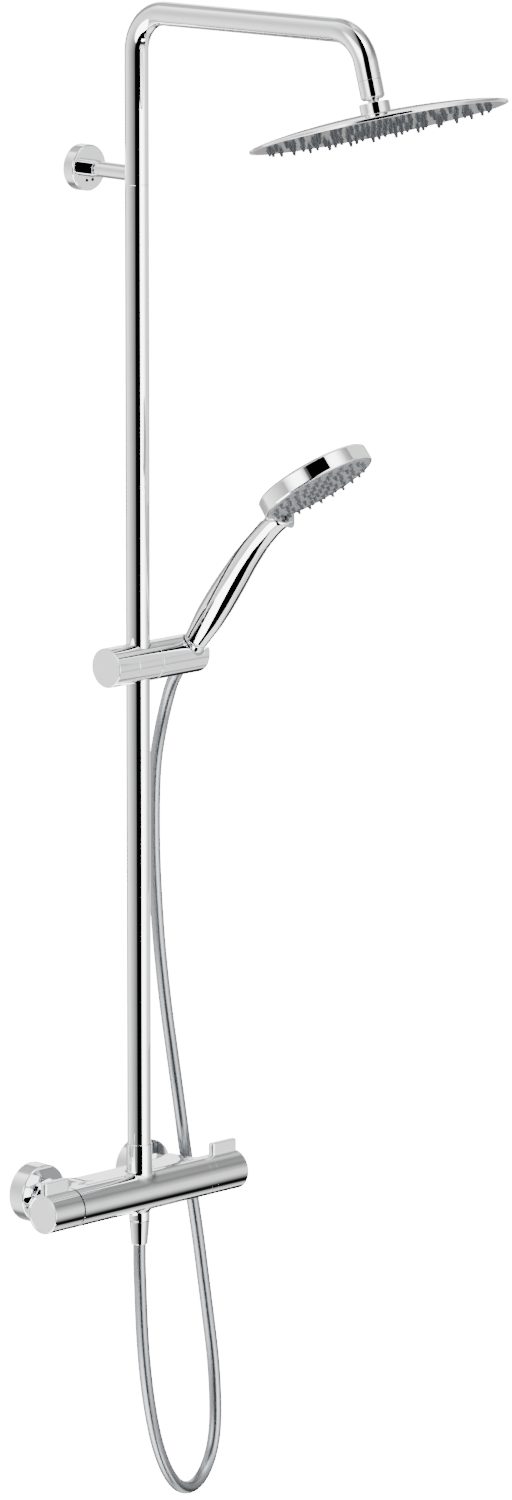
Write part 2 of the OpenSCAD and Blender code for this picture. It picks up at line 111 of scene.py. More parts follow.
class ShowerSizes(bpy.types.PropertyGroup):
    """Small sizes that the frame leaves open"""
    knob_edge: length("Knob edge", "Radius of the polished edge on knobs and collars", 0.9 * MM)
    casting_fillet: length("Casting fillet", "Blend between the mixer bar and its inlet bosses", 7 * MM)
    rain_nozzle_len: length("Rain nozzle", "How far a rain nozzle stands out of the plate", 5.6 * MM)
    spray_nozzle_len: length("Spray nozzle", "How far a hand-shower nozzle stands out of its plate", 4.4 * MM)
    seam: length("Seam", "Width of the fine seams between tubes", 0.35 * MM)
    # Painted shade: the dark strip stands for the shade in the side crease down each side of the handle
    crease_shade_strip: length("Seam strip", "Radius of the dark strip along each side of the handle", 1.1 * MM)
    hose_diameter: length("Hose diameter", "Outer diameter of the hose", 13 * MM)


class ShowerColours(bpy.types.PropertyGroup):
    """Colours of the finishes"""
    chrome: colour("Chrome", "Bright nickel-chrome plate", "#E9EAEC")
    chrome_tint: colour("Chrome tint", "The same plate where the nickel shows a little warmer", "#DEDFE1")
    hose: colour("Hose", "Metallised PVC", "#85888B")
    face: colour("Spray plate", "Satin grey ABS", "#8F9193")
    nozzle: colour("Nozzles", "Moulded silicone", "#3A3D41")
    spray_nozzle: colour("Spray nozzles", "Moulded silicone in the hand shower", "#55585C")
    brass: colour("Brass", "Turned, unplated brass", "#B8954F")
    steel: colour("Steel", "Turned stainless steel", "#A7A9AC")
    black: colour("Black", "Seal rubber and acetal", "#141415")
    white: colour("White", "Natural acetal", "#DAD9D4")
    floor: colour("Floor", "Pale studio floor", "#F6F6F5")


class ShowerStage(bpy.types.PropertyGroup):
    """Camera, floor and light"""
    lens: FloatProperty(name="Lens", description="Focal length", default=149.52, subtype="DISTANCE_CAMERA")
    floor_drop: length("Floor drop", "Floor below the mixer's axis", 0.36)
    key: FloatProperty(name="Key light", description="Power of the soft overhead light",
                       default=260.0, min=0.0, unit="POWER")


def sizes():
    return bpy.context.scene.shower_sizes


def colours():
    return bpy.context.scene.shower_colours


# ---- where things are, from the frame -------------------------------------------


def span(node):
    """A node's lowest and highest corners in millimetres."""
    low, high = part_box(node)
    return Vector(low) / MM, Vector(high) / MM


def joint(name):
    return next(j for j in frame["joints"] if j["name"] == name)


def place(origin, z, x=(1, 0, 0)):
    """A frame with its origin in millimetres, its Z along z and its X as near x as can be."""
    z = Vector(z).normalized()
    x = (Vector(x) - z * Vector(x).dot(z)).normalized()
    y = z.cross(x)
    rows = [[x[i], y[i], z[i], origin[i]] for i in range(3)]
    return Matrix(rows + [[0, 0, 0, 1]])


riser_low, riser_high = span("riser_tube")
end_low, end_high = span("flow_knob")
TUBE_R = (riser_high.x - riser_low.x) / 2
AXIS_Y = (riser_high.y + riser_low.y) / 2
SEAM_Z = riser_high.z
BAR_R = (end_high.z - end_low.z) / 2
BAR_END = end_high.x
BODY_END = end_low.x - 0.4      # the casting stops this far from the middle, just short of the knobs
INLET_X = 75.0                  # the inlets' distance from the middle
REAR_Y = -47.0                  # the casting's rear face

ARM_AXIS = Vector(joint("rain_turn")["axis"])
BALL = Vector(joint("rain_tilt")["pos_m"]) / MM
ARM_END = place(BALL + ARM_AXIS * 57, ARM_AXIS)
HAND_UP = Vector(joint("hand_spin")["axis"])
HAND_O = Vector(joint("hand_spin")["pos_m"]) / MM
FACE_N = Vector(joint("spray_select")["axis"])
FACE_O = Vector(joint("spray_select")["pos_m"]) / MM
HAND_X = (-HAND_UP + FACE_N * HAND_UP.dot(FACE_N)).normalized().cross(-FACE_N)
FACE = place(FACE_O, -FACE_N, HAND_X)
HAND = place(HAND_O, HAND_UP, HAND_X)
SLIDER_Z = HAND_O.z
ALONG_X = place((0, AXIS_Y, 0), (1, 0, 0), (0, 1, 0))
SLIDER = place((0, AXIS_Y, SLIDER_Z), (1, 0, 0), (0, 1, 0))
UP = place((0, AXIS_Y, 0), (0, 0, 1))

# The hose's centreline, mixer outlet first, in metres
HOSE_ROUTE = [
    (0, -0.080, -0.053), (0, -0.080, -0.074), (0.001, -0.080, -0.098), (0.004, -0.079, -0.140),
    (0.009, -0.078, -0.184), (0.018, -0.076, -0.228), (0.031, -0.073, -0.268), (0.047, -0.070, -0.299),
    (0.067, -0.066, -0.321), (0.091, -0.060, -0.330), (0.114, -0.054, -0.325), (0.132, -0.049, -0.308),
    (0.142, -0.046, -0.283), (0.146, -0.043, -0.250), (0.145, -0.041, -0.210), (0.140, -0.040, -0.170),
    (0.132, -0.040, -0.122), (0.125, -0.040, -0.080), (0.117, -0.040, -0.038), (0.107, -0.040, 0.012),
    (0.097, -0.041, 0.064), (0.086, -0.042, 0.120), (0.076, -0.042, 0.176), (0.069, -0.041, 0.232),
    (0.066, -0.039, 0.284), (0.065, -0.037, 0.336), (0.066, -0.036, 0.388), (0.068, -0.037, 0.428),
    (0.071, -0.042, 0.463), (0.071, -0.050, 0.489), (0.069, -0.060, 0.510), (0.067, -0.074, 0.529),
]


# ---- mesh making ----------------------------------------------------------------


def piece(name, shape, body, slot, nodes=(), at=None, finish=None, uvs=None):
    """A closed mesh from (points, faces, normals) in millimetres, riding on a body, in its slot's finish.

    With no body it is left loose.
    """
    points, faces, normals = shape
    points = np.asarray(points, float).reshape(-1, 3)
    if at is not None:
        turn = np.array(at.to_3x3())
        points = points @ turn.T + np.array(at.translation)
        normals = None if normals is None else np.asarray(normals, float) @ turn.T
    mesh = bpy.data.meshes.new(name)
    mesh.from_pydata((points * MM).tolist(), [], faces)
    mesh.polygons.foreach_set("use_smooth", [True] * len(mesh.polygons))
    if uvs is not None:
        layer = mesh.uv_layers.new(name="along")
        corner = np.zeros(len(mesh.loops), np.int32)
        mesh.loops.foreach_get("vertex_index", corner)
        layer.data.foreach_set("uv", np.asarray(uvs, float)[corner].ravel())
    if normals is not None:
        mesh.normals_split_custom_set_from_vertices([tuple(n) for n in normals])
    mesh.materials.append(finish or SLOT_FINISH[slot]())
    made = bpy.data.objects.new(name, mesh)
    bpy.context.scene.collection.objects.link(made)
    if nodes:
        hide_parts(*nodes)
    if body:
        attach(made, body)
    return made


SHARP_TURN = 0.5        # a corner that turns more than this, in radians, gets at least the tiny fillet
TINY_FILLET = 0.03


def rounded(profile, closed=False, arc=5):
    """A profile of (r, z) or (r, z, fillet), counter-clockwise, as points with exact outward normals."""
    raw = [tuple(p) + (0,) * (3 - len(p)) for p in profile]
    count = len(raw)
    out = []
    for i, (r, z, fillet) in enumerate(raw):
        here = np.array([r, z], float)
        ends = not closed and i in (0, count - 1)
        before = np.array(raw[i - 1][:2], float) if closed or i > 0 else None
        after = np.array(raw[(i + 1) % count][:2], float) if closed or i < count - 1 else None
        if ends:
            way = (after - here) if before is None else (here - before)
            way /= np.linalg.norm(way)
            out.append((r, z, way[1], -way[0]))
            continue
        a, b = here - before, after - here
        len_a, len_b = np.linalg.norm(a), np.linalg.norm(b)
        a, b = a / len_a, b / len_b
        turn = math.atan2(a[0] * b[1] - a[1] * b[0], a @ b)
        start = math.atan2(-a[0], a[1])
        sharp = fillet <= 0 and abs(turn) > SHARP_TURN
        if sharp:
            fillet = TINY_FILLET
        if fillet <= 0 or abs(turn) < 1e-4:
            mid = start + turn * len_a / (len_a + len_b)
            out.append((r, z, math.cos(mid), math.sin(mid)))
            continue
        reach = min(fillet * math.tan(abs(turn) / 2), 0.46 * len_a, 0.46 * len_b)
        bend = math.copysign(reach / math.tan(abs(turn) / 2), turn)
        centre = here - a * reach - bend * np.array([a[1], -a[0]])
        steps = 1 if sharp else arc
        for k in range(steps + 1):
            angle = start + turn * k / steps
            normal = np.array([math.cos(angle), math.sin(angle)])
            spot = centre + bend * normal
            out.append((max(spot[0], 0.0), spot[1], normal[0], normal[1]))
    return out


def lathe(profile, closed=False, segments=96, arc=5):
    """A profile turned about Z."""
    rows = rounded(profile, closed, arc)
    points, normals, faces, starts = [], [], [], []
    angles = [2 * math.pi * i / segments for i in range(segments)]
    for r, z, nr, nz in rows:
        starts.append(len(points))
        if r < 1e-6:
            points.append((0, 0, z))
            normals.append((0, 0, math.copysign(1, nz)))
            continue
        for a in angles:
            points.append((r * math.cos(a), r * math.sin(a), z))
            normals.append((nr * math.cos(a), nr * math.sin(a), nz))
    count = len(rows)
    for k in range(count if closed else count - 1):
        n = (k + 1) % count
        low, high = starts[k], starts[n]
        low_pole, high_pole = rows[k][0] < 1e-6, rows[n][0] < 1e-6
        for i in range(segments):
            j = (i + 1) % segments
            if low_pole and high_pole:
                break
            if low_pole:
                faces.append((low, high + j, high + i))
            elif high_pole:
                faces.append((low + i, low + j, high))
            else:
                faces.append((low + i, low + j, high + j, high + i))
    return points, faces, normals


def many(shape, matrices):
    """Copies of a shape, one for each frame, as one shape."""
    points, faces, normals = shape
    points, normals = np.asarray(points, float), np.asarray(normals, float)
    out_p, out_f, out_n = [], [], []
    for m in matrices:
        turn = np.array(m.to_3x3())
        shift = sum(len(p) for p in out_p)
        out_p.append(points @ turn.T + np.array(m.translation))
        out_n.append(normals @ turn.T)
        out_f += [tuple(i + shift for i in f) for f in faces]
    return np.concatenate(out_p), out_f, np.concatenate(out_n)


def smooth_line(route, step):
    """Points step apart on a smooth curve through the route."""
    fine_steps, passes = 24, 30
    p = np.asarray(route, float)
    p = np.vstack([2 * p[0] - p[1], p, 2 * p[-1] - p[-2]])
    fine = []
    for i in range(1, len(p) - 2):
        t = np.linspace(0, 1, fine_steps, endpoint=False)[:, None]
        a, b, c, d = p[i - 1], p[i], p[i + 1], p[i + 2]
        fine.append(0.5 * (2 * b + (c - a) * t + (2 * a - 5 * b + 4 * c - d) * t ** 2
                           + (3 * b - a - 3 * c + d) * t ** 3))
    fine = np.vstack(fine + [p[-2:-1]])
    for _ in range(passes):
        fine[1:-1] = 0.25 * fine[:-2] + 0.5 * fine[1:-1] + 0.25 * fine[2:]
    along = np.concatenate([[0], np.cumsum(np.linalg.norm(np.diff(fine, axis=0), axis=1))])
    at = np.linspace(0, along[-1], int(along[-1] / step) + 1)
    return np.stack([np.interp(at, along, fine[:, k]) for k in range(3)], axis=1)


def tube(line, radius, sides=40, edge=0.0, side_hint=(1, 0, 0), ways=None):
    """A closed tube along a line, with its two edges rounded by edge; also UVs, in turns and millimetres."""
    line = np.asarray(line, float)
    if ways is None:
        ways = np.gradient(line, axis=0)
    ways = ways / np.linalg.norm(ways, axis=1)[:, None]
    across = np.array(side_hint, float)
    rings = []
    run = np.concatenate([[0], np.cumsum(np.linalg.norm(np.diff(line, axis=0), axis=1))])
    for i in range(len(line)):
        across = across - ways[i] * (across @ ways[i])
        across /= np.linalg.norm(across)
        rings.append((line[i], ways[i], across, radius, 0.0, run[i]))
    if edge > 0:
        arc = [math.pi / 2 * k / 4 for k in range(1, 5)]
        ends = []
        for ring, sign, at in ((rings[0], 1, 0.0), (rings[-1], -1, run[-1])):
            centre, way, x = ring[:3]
            ends.append([(centre + way * sign * edge * (1 - math.sin(a)), way, x,
                          radius - edge * (1 - math.cos(a)), -sign * a, at) for a in arc])
            ends.append((centre + way * sign * edge,) + ring[1:])
        rings = ends[0][::-1] + [ends[1]] + rings[1:-1] + [ends[3]] + ends[2]
    points, normals, uvs, faces = [], [], [], []
    for centre, way, x, r, tilt, at in rings:
        y = np.cross(way, x)
        for k in range(sides):
            a = 2 * math.pi * k / sides
            out = math.cos(a) * x + math.sin(a) * y
            points.append(centre + r * out)
            normals.append(math.cos(tilt) * out + math.sin(tilt) * way)
            uvs.append((k / sides, at))
    for i in range(len(rings) - 1):
        for k in range(sides):
            n = (k + 1) % sides
            faces.append((i * sides + k, i * sides + n, (i + 1) * sides + n, (i + 1) * sides + k))
    for end, sign in ((0, -1), (len(rings) - 1, 1)):
        base = len(points)
        centre, way = rings[end][0], rings[end][1]
        for k in range(sides):
            points.append(points[end * sides + k])
            normals.append(sign * way)
            uvs.append((0.5, rings[end][5]))
        loop = [base + k for k in range(sides)]
        faces.append(tuple(loop if sign > 0 else reversed(loop)))
    return (points, faces, normals), uvs


def blend_max(a, b, k):
    """The larger of two fields, with the edge between them rounded over about k."""
    h = np.maximum(k - np.abs(a - b), 0) / k
    return np.maximum(a, b) + h ** 3 * k / 6


def blend_min(a, b, k):
    return -blend_max(-a, -b, k)


def carve(field, low, high, step):
    """The closed surface where field(x, y, z) is 0, in millimetres, with exact normals."""
    axes = [np.arange(low[i], high[i] + step, step) for i in range(3)]
    values = field(*np.meshgrid(*axes, indexing="ij"))
    grid = openvdb.FloatGrid(float(step * 3))
    grid.copyFromArray(np.ascontiguousarray(values, np.float32))
    points, quads = grid.convertToQuads(isovalue=0.0)
    points = points.astype(float) * step + np.array(low)

    def slope(p, h=0.02):
        out = np.zeros_like(p)
        for i in range(3):
            d = np.zeros(3)
            d[i] = h
            out[:, i] = (field(*(p + d).T) - field(*(p - d).T)) / (2 * h)
        return out

    for _ in range(3):
        g = slope(points)
        away = field(*points.T) / np.maximum((g * g).sum(1), 0.05)
        points -= g * np.clip(away, -step, step)[:, None]
    normals = slope(points)
    normals /= np.maximum(np.linalg.norm(normals, axis=1), 1e-9)[:, None]
    a, b, c = (points[quads[:, i]] for i in range(3))
    if (np.cross(b - a, c - a) * normals[quads[:, 0]]).sum() < 0:
        quads = quads[:, ::-1]
    return points, [tuple(int(i) for i in q) for q in quads], normals


def loft(rings):
    """Closed rings of equal count joined in order, with both ends closed."""
    sides = len(rings[0])
    points = [p for ring in rings for p in ring]
    faces = [(i * sides + k, i * sides + n, (i + 1) * sides + n, (i + 1) * sides + k)
             for i in range(len(rings) - 1) for k, n in zip(range(sides), [*range(1, sides), 0])]
    faces.append(tuple(reversed(range(sides))))
    faces.append(tuple((len(rings) - 1) * sides + k for k in range(sides)))
    return points, faces, None


# ---- finishes -------------------------------------------------------------------


def add(tree, kind, fields=(), values=(), links=()):
    """One node with its settings, its sockets' values and its links."""
    made = tree.nodes.new(kind)
    for name, value in dict(fields).items():
        setattr(made, name, value)
    for name, value in dict(values).items():
        made.inputs[name].default_value = value
    for name, source in dict(links).items():
        tree.links.new(source, made.inputs[name])
    return made


def new_finish(name):
    made = bpy.data.materials.get(name)
    if made:
        return made, None
    made = bpy.data.materials.new(name)
    made.use_nodes = True
    made.node_tree.nodes.clear()
    return made, made.node_tree


def per_metre(mm):
    """A texture scale that gives features of this size."""
    return 1.0 / (mm * MM)


def plated(name, smear_mm, rough, spread, peel_mm, peel_depth):
    """Nickel-chrome plate. Metals keep the default IOR."""
    made, tree = new_finish(name)
    if tree is None:
        return made
    where = add(tree, "ShaderNodeTexCoord").outputs["Object"]
    smear = add(tree, "ShaderNodeTexNoise", {}, {"Scale": per_metre(smear_mm), "Detail": 3.0},
                {"Vector": where})
    tint = add(tree, "ShaderNodeMix", {"data_type": "RGBA"},
               {6: colours().chrome, 7: colours().chrome_tint}, {0: smear.outputs["Fac"]})
    gloss = add(tree, "ShaderNodeMapRange", {},
                {"From Min": 0.35, "From Max": 0.75, "To Min": rough - spread, "To Max": rough + spread},
                {"Value": smear.outputs["Fac"]})
    peel = add(tree, "ShaderNodeTexNoise", {}, {"Scale": per_metre(peel_mm), "Detail": 1.0},
               {"Vector": where})
    bump = add(tree, "ShaderNodeBump", {}, {"Strength": 1.0, "Distance": peel_depth * MM},
               {"Height": peel.outputs["Fac"]})
    shader = add(tree, "ShaderNodeBsdfPrincipled", {}, {"Metallic": 1.0},
                 {"Base Color": tint.outputs[2], "Roughness": gloss.outputs["Result"],
                  "Normal": bump.outputs["Normal"]})
    add(tree, "ShaderNodeOutputMaterial", {}, {}, {"Surface": shader.outputs[0]})
    return made


def polished_chrome_on_brass():
    # Buffed brass, bright-plated: a near mirror with faint wiping smears 30 mm wide
    return plated("polished_chrome_on_brass", 30, 0.014, 0.008, 24, 0.0006)


def polished_chrome_on_abs():
    # Moulded ABS, bright-plated: as bright, with a slightly softer, wavier mirror than plated brass
    return plated("polished_chrome_on_abs", 22, 0.025, 0.012, 20, 0.0010)


def satin_chrome_on_abs():
    # Moulded ABS from a lightly blasted tool, then plated: broad, soft reflections
    return plated("satin_chrome_on_abs", 22, 0.36, 0.03, 20, 0.001)


def satin_chrome_on_steel():
    # Pressed steel plate with thin chrome: reflections are a little blurred
    return plated("satin_chrome_on_steel", 26, 0.13, 0.03, 5, 0.001)


def metallised_pvc():
    # Extruded silver PVC over a braid: soft metallic sheen, with fine drawn streaks along the hose.
    # The real streaks are about 0.3 mm wide and are drawn 1 mm wide so that they show.
    made, tree = new_finish("metallised_pvc")
    if tree is None:
        return made
    where = add(tree, "ShaderNodeUVMap", {"uv_map": "along"}).outputs["UV"]
    around_streaks, along_per_mm = 40.0, 0.02
    stretch = add(tree, "ShaderNodeVectorMath", {"operation": "MULTIPLY"},
                  {1: (around_streaks, along_per_mm, 1.0)}, {0: where})
    streaks = add(tree, "ShaderNodeTexNoise", {}, {"Scale": 1.0, "Detail": 2.0},
                  {"Vector": stretch.outputs[0]})
    gloss = add(tree, "ShaderNodeMapRange", {}, {"To Min": 0.31, "To Max": 0.36},
                {"Value": streaks.outputs["Fac"]})
    bump = add(tree, "ShaderNodeBump", {}, {"Strength": 0.1, "Distance": 0.002 * MM},
               {"Height": streaks.outputs["Fac"]})
    shader = add(tree, "ShaderNodeBsdfPrincipled", {},
                 {"Base Color": colours().hose, "Metallic": 1.0, "Coat Weight": 0.1, "Coat Roughness": 0.1},
                 {"Roughness": gloss.outputs["Result"], "Normal": bump.outputs["Normal"]})
    add(tree, "ShaderNodeOutputMaterial", {}, {}, {"Surface": shader.outputs[0]})
    return made


def moulded(name, base, rough, grain_mm, grain_depth, speck, gleam=0.5):
    """A moulded plastic or rubber with the fine grain of its tool."""
    made, tree = new_finish(name)
    if tree is None:
        return made
    where = add(tree, "ShaderNodeTexCoord").outputs["Object"]
    cloud_mm = 18
    grain, cloud = (add(tree, "ShaderNodeTexNoise", {}, {"Scale": per_metre(mm), "Detail": 2.0},
                        {"Vector": where}) for mm in (grain_mm, cloud_mm))
    dark = tuple(c * (1 - speck) for c in base[:3]) + (1.0,)
    tint = add(tree, "ShaderNodeMix", {"data_type": "RGBA"}, {6: base, 7: dark}, {0: cloud.outputs["Fac"]})
    gloss = add(tree, "ShaderNodeMapRange", {}, {"To Min": rough - 0.05, "To Max": rough + 0.05},
                {"Value": cloud.outputs["Fac"]})
    bump = add(tree, "ShaderNodeBump", {}, {"Strength": 0.5, "Distance": grain_depth * MM},
               {"Height": grain.outputs["Fac"]})
    shader = add(tree, "ShaderNodeBsdfPrincipled", {}, {"IOR": 1.5, "Specular IOR Level": gleam},
                 {"Base Color": tint.outputs[2], "Roughness": gloss.outputs["Result"],
                  "Normal": bump.outputs["Normal"]})
    add(tree, "ShaderNodeOutputMaterial", {}, {}, {"Surface": shader.outputs[0]})
    return made


def satin_abs():
    # Grey ABS from a finely sparked tool: an even mid-grey with a soft, wide highlight
    return moulded("satin_abs", tuple(colours().face), 0.38, 0.6, 0.02, 0.06)


def silicone():
    # Soft moulded silicone: dark grey, dull, a touch lighter at its edges
    return moulded("moulded_silicone", tuple(colours().nozzle), 0.5, 0.8, 0.01, 0.1, 0.25)


def pale_silicone():
    # The hand shower's softer silicone: mid-grey, close to its plate
    return moulded("pale_silicone", tuple(colours().spray_nozzle), 0.5, 0.8, 0.01, 0.1, 0.25)


def black_acetal():
    # Moulded black acetal and seal rubber: nearly black and matt
    return moulded("black_acetal", tuple(colours().black), 0.45, 0.7, 0.01, 0.2, 0.15)


def white_acetal():
    # Natural acetal: waxy off-white
    return moulded("white_acetal", tuple(colours().white), 0.35, 0.9, 0.01, 0.05)


def turned(name, base, rough):
    """Turned metal: fine rings left by the tool, drawn 0.4 mm apart so that they show."""
    made, tree = new_finish(name)
    if tree is None:
        return made
    where = add(tree, "ShaderNodeTexCoord").outputs["Object"]
    rings = add(tree, "ShaderNodeTexNoise", {}, {"Scale": per_metre(0.4), "Detail": 1.0}, {"Vector": where})
    gloss = add(tree, "ShaderNodeMapRange", {}, {"To Min": rough - 0.06, "To Max": rough + 0.08},
                {"Value": rings.outputs["Fac"]})
    shader = add(tree, "ShaderNodeBsdfPrincipled", {}, {"Base Color": base, "Metallic": 1.0},
                 {"Roughness": gloss.outputs["Result"]})
    add(tree, "ShaderNodeOutputMaterial", {}, {}, {"Surface": shader.outputs[0]})
    return made


def turned_brass():
    # Unplated turned brass: warm yellow, half dull
    return turned("turned_brass", colours().brass, 0.3)


def turned_steel():
    # Turned stainless steel: neutral grey with a broken highlight
    return turned("turned_steel", colours().steel, 0.26)


SLOT_FINISH = {
    "chrome": polished_chrome_on_brass, "chrome_plastic": polished_chrome_on_abs,
    "raw_brass": turned_brass, "steel": turned_steel, "black_rubber": black_acetal,
    "nozzle_rubber": silicone, "dark_plastic": black_acetal, "grey_plastic": satin_abs,
    "white_plastic": white_acetal, "face_plastic": satin_abs, "face_metal": satin_chrome_on_steel,
    "hose_metal": metallised_pvc,
}


# ---- operators ------------------------------------------------------------------


class SHOWER_OT_camera(bpy.types.Operator):
    """Place the camera"""
    bl_idname = "shower.camera"
    bl_label = "Camera"

    def execute(self, context):
        standpoint = (-6.453166, -6.545239, 2.249183)
        tilt, heading = 78.87, -45.682
        data = bpy.data.cameras.new("camera")
        data.sensor_fit = "VERTICAL"
        data.sensor_height = 24.0
        data.lens = context.scene.shower_stage.lens
        data.clip_end = 200.0
        eye = bpy.data.objects.new("camera", data)
        eye.location = standpoint
        eye.rotation_euler = (math.radians(tilt), 0.0, math.radians(heading))
        context.scene.collection.objects.link(eye)
        context.scene.camera = eye
        return {"FINISHED"}


class SHOWER_OT_hose(bpy.types.Operator):
    """Run the hose from the mixer's outlet to the hand shower"""
    bl_idname = "shower.hose"
    bl_label = "Hose"

    def execute(self, context):
        line = smooth_line(np.array(HOSE_ROUTE) / MM, 3.0)
        ways = np.gradient(line, axis=0)
        # Five lengths end to end: the loop's bottom and three heights part them
        part_heights = (262, 428, 503)
        lowest = int(line[:, 2].argmin())
        up = np.arange(len(line))
        marks = [int(np.argmax((up > lowest) & (line[:, 2] > z))) for z in part_heights]
        marks = [0, lowest, *marks, len(line) - 1]
        names = ["hose_drop", "hose_rise", "hose_upper", "hose_turn", "hose_tail"]
        run = np.concatenate([[0], np.cumsum(np.linalg.norm(np.diff(line, axis=0), axis=1))])
        across = np.array([1.0, 0, 0])
        made, lines = [], []
        diameter = sizes().hose_diameter
        for i, name in enumerate(names):
            a, b = marks[i], marks[i + 1]
            part = line[a:b + 1]
            shape, uvs = tube(part, diameter / 2 / MM, 40, 0.0, across, ways[a:b + 1])
            uvs = [(u, v + run[a]) for u, v in uvs]
            for w in ways[a:b + 1]:
                w = w / np.linalg.norm(w)
                across = across - w * (across @ w)
                across /= np.linalg.norm(across)
            hose = piece(name, shape, "column" if i == 0 else None, "hose_metal",
                         ("hose_tube",) if i == 0 else (), uvs=uvs)
            if i:
                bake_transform(hose)
            made.append(hose)
            lines.append(part * MM)
        return {"FINISHED"}


class SHOWER_OT_mixer(bpy.types.Operator):
    """Make the mixer's casting, with its fillets to the inlet bosses"""
    bl_idname = "shower.mixer"
    bl_label = "Mixer body"

    def execute(self, context):
        fillet = sizes().casting_fillet / MM
        bridge_half, boss_r, tail_r = 20, 20.6, 11
        riser_seat_r, riser_seat_top, outlet_seat_r, outlet_seat_low = 12.8, 28, 10.3, -27
        union_front = -33

        def casting(x, y, z):
            side = np.abs(x)
            bar = np.hypot(y - AXIS_Y, z) - BAR_R
            spine = blend_max(blend_max(np.abs(z) - bridge_half, y - REAR_Y, 7), side - INLET_X, 3)
            spine = np.maximum(spine, AXIS_Y - y)
            boss = blend_max(np.hypot(side - INLET_X, z) - boss_r, y - REAR_Y, 5)
            boss = blend_max(boss, AXIS_Y + 6 - y, 2)
            body = blend_min(blend_min(bar, spine, 4), boss, fillet)
            away = np.hypot(x, y - AXIS_Y)
            body = blend_min(body, np.maximum(away - riser_seat_r, np.maximum(z - riser_seat_top, -z)), 7)
            body = blend_min(body, np.maximum(away - outlet_seat_r, np.maximum(outlet_seat_low - z, z)), 6)
            tail = np.maximum(np.hypot(side - INLET_X, z) - tail_r, np.maximum(y - union_front, AXIS_Y - y))
            return blend_max(np.minimum(body, tail), side - BODY_END + 0.7, 0.15)

        shape = carve(casting, (-98, -103, -31), (98, -30, 31), 1.3)
        piece("mixer_casting", shape, "column", "chrome", ("valve_body",))
        # Turned ends, so that the seams to the knobs are clean
        skin, start = BAR_R + 0.03, 86
        end = lathe([(skin - 4, start), (skin, start, 0.02), (skin, BODY_END, 0.05), (skin - 4, BODY_END)],
                    closed=True, segments=128)
        ends = [place((0, AXIS_Y, 0), (side, 0, 0), (0, 1, 0)) for side in (-1, 1)]
        piece("turned_ends", many(end, ends), "column", "chrome")
        return {"FINISHED"}


class SHOWER_OT_knobs(bpy.types.Operator):
    """Make the temperature and flow knobs, their grip fins and the dark gap ring"""
    bl_idname = "shower.knobs"
    bl_label = "Knobs"

    def execute(self, context):
        edge = sizes().knob_edge / MM
        dish = 0.35
        seal_gap, plain_gap = 2.0, 0.12
        for side, name, gap in ((-1, "temperature", seal_gap), (1, "flow", plain_gap)):
            body, start = name + "_dial", BODY_END + gap
            at = ALONG_X if side > 0 else place((0, AXIS_Y, 0), (-1, 0, 0), (0, 1, 0))
            shape = lathe([(0, start), (BAR_R, start, 0.05), (BAR_R, BAR_END, edge),
                           (BAR_R - 2.2, BAR_END, 0.4), (BAR_R - 2.8, BAR_END - dish, 0.4),
                           (0, BAR_END - dish)], segments=128)
            piece(name + "_grip", shape, body, "chrome", (name + "_knob",), at)
            low, high = span(name + "_tab")
            mid, half = (low.x + high.x) / 2, (high.x - low.x) / 2
            round_r = (high.y - low.y) / 2

            def fin(x, y, z):
                flat = np.hypot(np.maximum(np.abs(x - mid) - (half - round_r), 0), y - AXIS_Y) - round_r
                upright = blend_max(flat, z - high.z, 2.6)
                return np.maximum(upright, 14 - z)

            shape = carve(fin, (low.x - 1.5, low.y - 1.5, 12.5),
                          (high.x + 1.5, high.y + 1.5, high.z + 1.5), 0.6)
            piece(name + "_fin", shape, body, "chrome", (name + "_tab",), finish=satin_chrome_on_abs())
        seal_r = BAR_R - 0.6
        ring = lathe([(8, -0.4), (seal_r, -0.4, 0.2), (seal_r, 2.3, 0.2), (8, 2.3)], closed=True)
        piece("gap_seal", ring, "column", "dark_plastic", ("gap_ring",),
              place((-BODY_END, AXIS_Y, 0), (-1, 0, 0), (0, 1, 0)))
        return {"FINISHED"}


class SHOWER_OT_inlets(bpy.types.Operator):
    """Make the escutcheons and the hexagon union nuts"""
    bl_idname = "shower.inlets"
    bl_label = "Inlets"

    def execute(self, context):
        low, high = span("left_escutcheon")
        cup_r, depth, wall, hole_r = (high.z - low.z) / 2, high.y - low.y, 1.5, 11.4
        cup = [(cup_r - wall, 0, 0.3), (cup_r, 0, 0.5), (cup_r, depth, 1.4), (hole_r, depth, 0.5),
               (hole_r, depth - wall, 0.3), (cup_r - wall, depth - wall, 0.8)]
        # Half across flats, chamfer, bore and middle of the hexagon nut
        flat_half, crown_r, crown_slope, bore_r, nut_y = 15.24, 16.9, 0.55, 11.1, -33
        for x, name in ((-INLET_X, "left"), (INLET_X, "right")):
            piece(name + "_rosette", lathe(cup, closed=True, segments=128), "column", "chrome",
                  (name + "_escutcheon",), place((x, 0, 0), (0, -1, 0)))

            def nut(px, py, pz):
                a = np.abs(px - x)
                b = np.abs(0.5 * (px - x) + 0.8660254 * pz)
                c = np.abs(-0.5 * (px - x) + 0.8660254 * pz)
                hexagon = blend_max(blend_max(a, b, 0.7), c, 0.7) - flat_half
                away = np.hypot(px - x, pz)
                body = blend_max(hexagon, np.abs(py - nut_y) - 11, 0.8)
                crown = away - crown_r + crown_slope * (np.abs(py - nut_y) - 7)
                return blend_max(blend_max(body, crown, 0.5), bore_r - away, 0.5)

            shape = carve(nut, (x - 20, -46, -20), (x + 20, -20, 20), 0.75)
            piece(name + "_hexagon_nut", shape, "column", "chrome", (name + "_union_nut",))
        return {"FINISHED"}


